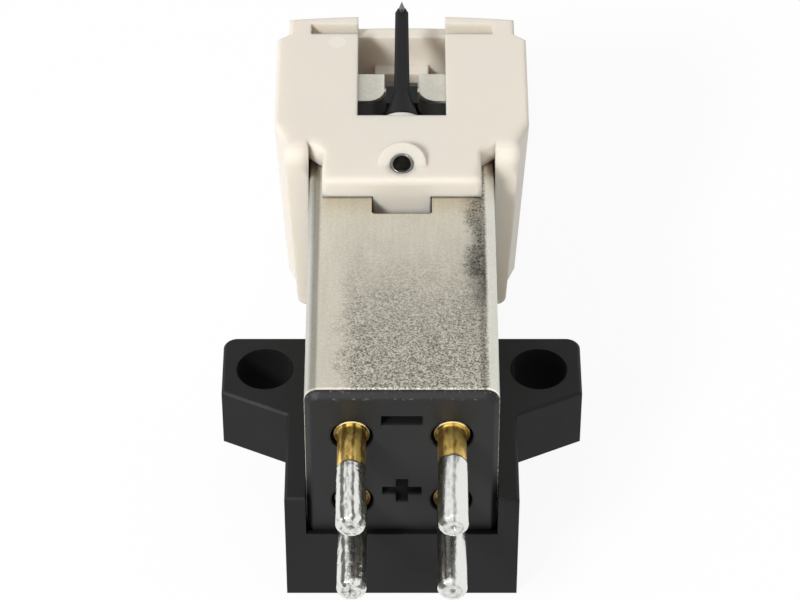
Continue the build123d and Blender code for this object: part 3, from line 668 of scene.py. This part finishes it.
def pin_profile(tip_y, tail_y, sizes):
    """Stations of a pin from its tip to its tail, as distance along Y and plain radius."""
    block_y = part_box("terminal_block")[0].y
    collar_y = block_y + 0.1 * MM
    seat_y = block_y + 0.8 * MM
    contact = sizes.pin_contact / 2
    flat = contact - sizes.pin_round
    stations = [(tip_y, flat * step / 5) for step in range(1, 6)]
    for step in range(1, 7):
        turn = step / 6 * math.pi / 2
        out = sizes.pin_round * (1 - math.cos(turn))
        stations.append((tip_y + out, flat + sizes.pin_round * math.sin(turn)))
    y = tip_y + sizes.pin_round + sizes.pin_step
    while y < block_y:
        stations.append((y, contact))
        y += sizes.pin_step
    collar = sizes.pin_collar / 2
    rim = 0.08 * MM
    stations += [
        (collar_y + 2.5 * rim, sizes.pin_neck / 2),
        (collar_y + 0.5 * rim, collar - 1.1 * rim),
        (collar_y, collar - 0.7 * rim),
        (collar_y + 0.3 * rim, collar - 0.2 * rim),
        (collar_y + rim, collar),
        (seat_y, collar),
        (seat_y, sizes.pin_shank / 2),
        (tail_y, sizes.pin_shank / 2),
    ]
    return stations


def painted_darkness(turn, y, seed, streaks):
    """How much painted dark reflection the streaks put at a turn from the pin's top, in degrees."""
    drift = STREAK_DRIFT * noise.noise(Vector((seed, y / MM, 0.0)))
    painted_dark = 0.0
    for centre, half, depth in streaks:
        gap = (abs(turn - centre + drift) - half) / STREAK_FADE
        painted_dark = max(painted_dark, depth * min(1.0, max(0.0, 0.5 - gap)))
    return painted_dark


def tinned_pin(name, node, seed, gilded, crinkles, streaks, sizes):
    """Turned pin with a coat of solder on its contact, more or less crinkled."""
    low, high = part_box(node)
    axis_x = (low.x + high.x) / 2
    axis_z = (low.z + high.z) / 2
    neck = sizes.pin_neck / 2
    contact = sizes.pin_contact / 2
    edge_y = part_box("terminal_block")[0].y - gilded
    shell = bmesh.new()
    coat = shell.verts.layers.float.new("tin")
    dark_paint_layer = shell.verts.layers.float.new("painted_dark")
    rings = []
    for y, radius in pin_profile(low.y, high.y, sizes):
        ring = []
        for step in range(sizes.pin_segments):
            angle = 2 * math.pi * step / sizes.pin_segments
            across = Vector((math.cos(angle), 0.0, math.sin(angle)))
            spot = Vector((across.x * 1.4, y / MM * 0.9 + seed, across.z * 1.4))
            waver = sizes.solder_edge * noise.noise(spot * 1.3)
            crept = SOLDER_CREEP * gilded * max(0.0, -across.z)
            tin = min(1.0, max(0.0, (edge_y + crept + waver - y) / SOLDER_FADE))
            swell = noise.fractal(spot * 2.2, 0.6, 2.1, 4) * sizes.solder_swell * crinkles
            plain = min(radius, neck) if radius <= contact else radius
            full = plain + tin * (radius - plain + min(swell, 0.0))
            dent = 0.0
            turn = math.degrees(math.atan2(across.x, across.z))
            # Painted dark: reflection streaks, the collar's darker sides, and shade on the end and in its
            # dimple.
            painted_dark = painted_darkness(turn, y, seed, streaks)
            if radius > contact:
                painted_dark = min(1.0, max(0.0, (abs(turn) - COLLAR_BRIGHT) / COLLAR_FADE))
            if y < low.y + sizes.pin_round:
                dent = (noise.noise(spot * (2.5 * radius / contact) + across * 2.0) + 0.6) * END_DENTS
                painted_dark = painted_dark if across.z > 0.0 else END_UNDERSIDE_SHADE
            if y <= low.y:
                painted_dark = END_RIM_SHADE if radius > 0.6 * contact else END_FACE_SHADE
            if radius < DIMPLE_RADIUS:
                dent += DIMPLE_DEPTH
                painted_dark = DIMPLE_SHADE
            full = min(full, contact) if radius <= contact else full
            vertex = shell.verts.new((axis_x + full * across.x, y + max(dent, 0.0), axis_z + full * across.z))
            vertex[coat] = tin
            vertex[dark_paint_layer] = painted_dark
            ring.append(vertex)
        rings.append(ring)
    for near, far in zip(rings, rings[1:]):
        for step in range(sizes.pin_segments):
            after = (step + 1) % sizes.pin_segments
            shell.faces.new((near[step], near[after], far[after], far[step]))
    shell.faces.new(list(reversed(rings[0])))
    shell.faces.new(rings[-1])
    bmesh.ops.recalc_face_normals(shell, faces=shell.faces)
    mesh = bpy.data.meshes.new(name)
    shell.to_mesh(mesh)
    shell.free()
    mesh.shade_smooth()
    mesh.set_sharp_from_angle(angle=SMOOTH_ANGLE)
    pin = bpy.data.objects.new(name, mesh)
    bpy.context.scene.collection.objects.link(pin)
    return pin


class CARTRIDGE_OT_pins(bpy.types.Operator):
    """Make the four terminal pins with their solder"""

    bl_idname = "cartridge.pins"
    bl_label = "Terminal pins"

    def execute(self, context):
        scene = context.scene
        sizes = scene.cartridge_sizes
        for number, (place, (gilded, crinkles, streaks)) in enumerate(PINS.items()):
            node = f"terminal_pin_{place}"
            seed = PIN_SEED * (number + 1)
            pin = tinned_pin(f"tinned_pin_{place}", node, seed, gilded * MM, crinkles, streaks, sizes)
            pin.data.materials.append(gold_and_solder(scene.cartridge_colours, crinkles))
            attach(pin, "cartridge_body")
            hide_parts(node)
        return {"FINISHED"}


class CARTRIDGE_OT_generator(bpy.types.Operator):
    """Finish the yoke, pole pieces, bobbins and windings"""

    bl_idname = "cartridge.generator"
    bl_label = "Generator"

    def execute(self, context):
        colours = context.scene.cartridge_colours
        sizes = context.scene.cartridge_sizes
        iron = metal(
            "pole iron", colours.iron, grain=0.1 * MM, amount=0.25, roughness=0.42, bump=0.004 * MM
        )
        bobbin = plastic(
            "bobbin plastic", colours.bobbin, grain=0.1 * MM, roughness=0.5, bump=0.004 * MM, edge_light=1.1
        )
        copper = coil_copper(colours, sizes)
        dress("return_yoke", iron)
        for side in SIDES:
            dress(f"pole_piece_{side}", iron)
            dress(f"coil_bobbin_{side}", bobbin)
            dress(f"coil_winding_{side}", copper)
        return {"FINISHED"}


class CARTRIDGE_OT_housing(bpy.types.Operator):
    """Finish the stylus housing, its eyelet and its clip"""

    bl_idname = "cartridge.housing"
    bl_label = "Stylus housing"

    def execute(self, context):
        colours = context.scene.cartridge_colours
        dress("stylus_housing", ivory_moulding(colours, context.scene.cartridge_sizes))
        steel = metal(
            "eyelet steel", colours.eyelet, grain=0.05 * MM, amount=0.3, roughness=0.28, bump=0.004 * MM
        )
        for node in ("locking_eyelet", "suspension_sleeve", "tie_wire"):
            dress(node, steel)
        # The clip's edges get a painted highlight.
        finish = {"roughness": 0.3, "bump": 0.004 * MM, "edge_light": 1.5, "metallic": 0.5}
        clip = metal("clip sheet", colours.clip, grain=0.12 * MM, amount=0.15, **finish)
        dress("suspension_clip", clip)
        return {"FINISHED"}


class CARTRIDGE_OT_cantilever(bpy.types.Operator):
    """Finish the cantilever, its tip, magnets and damper"""

    bl_idname = "cartridge.cantilever"
    bl_label = "Cantilever"

    def execute(self, context):
        colours = context.scene.cartridge_colours
        finish = {"roughness": 0.42, "bump": 0.003 * MM, "specular": 0.18}
        dress("cantilever", plastic("carbon plastic", colours.carbon, grain=0.05 * MM, **finish))
        finish = {"roughness": 0.7, "bump": 0.006 * MM, "edge_light": 1.2}
        dress("damper", plastic("damper rubber", colours.rubber, grain=0.05 * MM, **finish))
        dress("stylus_tip", clear_diamond(colours))
        alloy = metal(
            "magnet alloy", colours.magnet, grain=0.06 * MM, amount=0.4, roughness=0.5, bump=0.006 * MM
        )
        for side in SIDES:
            dress(f"magnet_{side}", alloy)
        return {"FINISHED"}


def seen_directly(tree):
    """1 for rays from the camera, from a reflection or through glass, and 0 for light."""
    path = tree.node("ShaderNodeLightPath").outputs
    mirrored = tree.larger(path["Is Glossy Ray"], path["Is Transmission Ray"])
    return tree.larger(path["Is Camera Ray"], mirrored)


def white_floor(colours, studio):
    """Plain pale floor that shows as white to the camera and keeps the object's shadow."""
    made, tree, surface = new_material("studio floor")
    surface["Base Color"].default_value = rgba(colours.floor)
    surface["Roughness"].default_value = 0.9
    surface["Specular IOR Level"].default_value = 0.1
    glow = tree.node("ShaderNodeEmission", {"Strength": 1.0}).outputs[0]
    lift = tree.times(seen_directly(tree), studio.floor_show)
    nodes = made.node_tree.nodes
    mixed = tree.node("ShaderNodeMixShader", {0: lift, 1: nodes["Principled BSDF"].outputs[0], 2: glow})
    tree.feed(nodes["Material Output"].inputs["Surface"], mixed.outputs[0])
    return made


def softbox(name, watts, size, place, target, spared=()):
    """Square soft light that faces a point and leaves out the pieces that it would glare on."""
    lamp = bpy.data.lights.new(name, "AREA")
    lamp.energy = watts
    lamp.size = size
    light = bpy.data.objects.new(name, lamp)
    light.location = place
    light.rotation_euler = (target - Vector(place)).to_track_quat("-Z", "Y").to_euler()
    bpy.context.scene.collection.objects.link(light)
    if not spared:
        return
    unlit = bpy.data.collections.new(f"spared by {name}")
    for node in spared:
        unlit.objects.link(frame["nodes"][node])
    for member in unlit.collection_objects:
        member.light_linking.link_state = "EXCLUDE"
    light.light_linking.receiver_collection = unlit


class CARTRIDGE_OT_stage(bpy.types.Operator):
    """Set the floor, the light and the camera"""

    bl_idname = "cartridge.stage"
    bl_label = "Stage"

    def execute(self, context):
        scene = context.scene
        studio = scene.cartridge_studio
        scene.view_settings.view_transform = "Standard"
        aim = Vector(studio.aim)
        bpy.ops.mesh.primitive_plane_add(size=FLOOR_SIZE, location=(0.0, 0.0, CAD_BOX[0].z - FLOOR_DROP))
        floor = context.object
        floor.name = "studio_floor"
        floor.data.materials.append(white_floor(scene.cartridge_colours, studio))
        world = bpy.data.worlds.new("studio world")
        world.use_nodes = True
        scene.world = world
        tree = Tree(world.node_tree)
        sky = world.node_tree.nodes["Background"].inputs
        sky["Color"].default_value = (1.0, 1.0, 1.0, 1.0)
        tree.feed(sky["Strength"], tree.mix(seen_directly(tree), studio.ambient, 1.0))
        softbox("overhead softbox", studio.overhead, OVERHEAD_SIZE, OVERHEAD_PLACE, aim)
        softbox("key softbox", studio.key, KEY_SIZE, KEY_PLACE, aim, spared=("shield_can",))
        lens = bpy.data.cameras.new("camera")
        lens.lens = studio.lens
        lens.sensor_width = SENSOR_MM
        lens.clip_start = NEAR_CLIP
        lens.clip_end = FAR_CLIP
        camera = bpy.data.objects.new("camera", lens)
        back = Vector((0.0, -math.cos(studio.elevation), math.sin(studio.elevation)))
        camera.location = aim + back * studio.distance
        camera.rotation_euler = (-back).to_track_quat("-Z", "Y").to_euler()
        scene.collection.objects.link(camera)
        scene.camera = camera
        return {"FINISHED"}


OPERATORS = (
    CARTRIDGE_OT_bracket,
    CARTRIDGE_OT_can,
    CARTRIDGE_OT_pins,
    CARTRIDGE_OT_generator,
    CARTRIDGE_OT_housing,
    CARTRIDGE_OT_cantilever,
    CARTRIDGE_OT_stage,
)


class CARTRIDGE_PT_panel(bpy.types.Panel):
    """Sidebar list of the cartridge's steps"""

    bl_label = "Phono cartridge"
    bl_idname = "CARTRIDGE_PT_panel"
    bl_space_type = "VIEW_3D"
    bl_region_type = "UI"
    bl_category = "Cartridge"

    def draw(self, context):
        for operator in OPERATORS:
            self.layout.operator(operator.bl_idname)
        for settings in GROUPS:
            values = getattr(context.scene, settings)
            self.layout.label(text=settings.replace("_", " "))
            for key in values.__annotations__:
                self.layout.prop(values, key)


GROUPS = {
    "cartridge_colours": CartridgeColours,
    "cartridge_sizes": CartridgeSizes,
    "cartridge_studio": CartridgeStudio,
}
CLASSES = (*GROUPS.values(), *OPERATORS, CARTRIDGE_PT_panel)


def register():
    for kind in CLASSES:
        bpy.utils.register_class(kind)
    for name, kind in GROUPS.items():
        setattr(bpy.types.Scene, name, PointerProperty(type=kind))


def unregister():
    for name in GROUPS:
        delattr(bpy.types.Scene, name)
    for kind in reversed(CLASSES):
        bpy.utils.unregister_class(kind)


def main():
    register()
    bpy.ops.cartridge.bracket()
    bpy.ops.cartridge.can()
    bpy.ops.cartridge.pins()
    bpy.ops.cartridge.generator()
    bpy.ops.cartridge.housing()
    bpy.ops.cartridge.cantilever()
    bpy.ops.cartridge.stage()


if __name__ == "__main__":
    main()
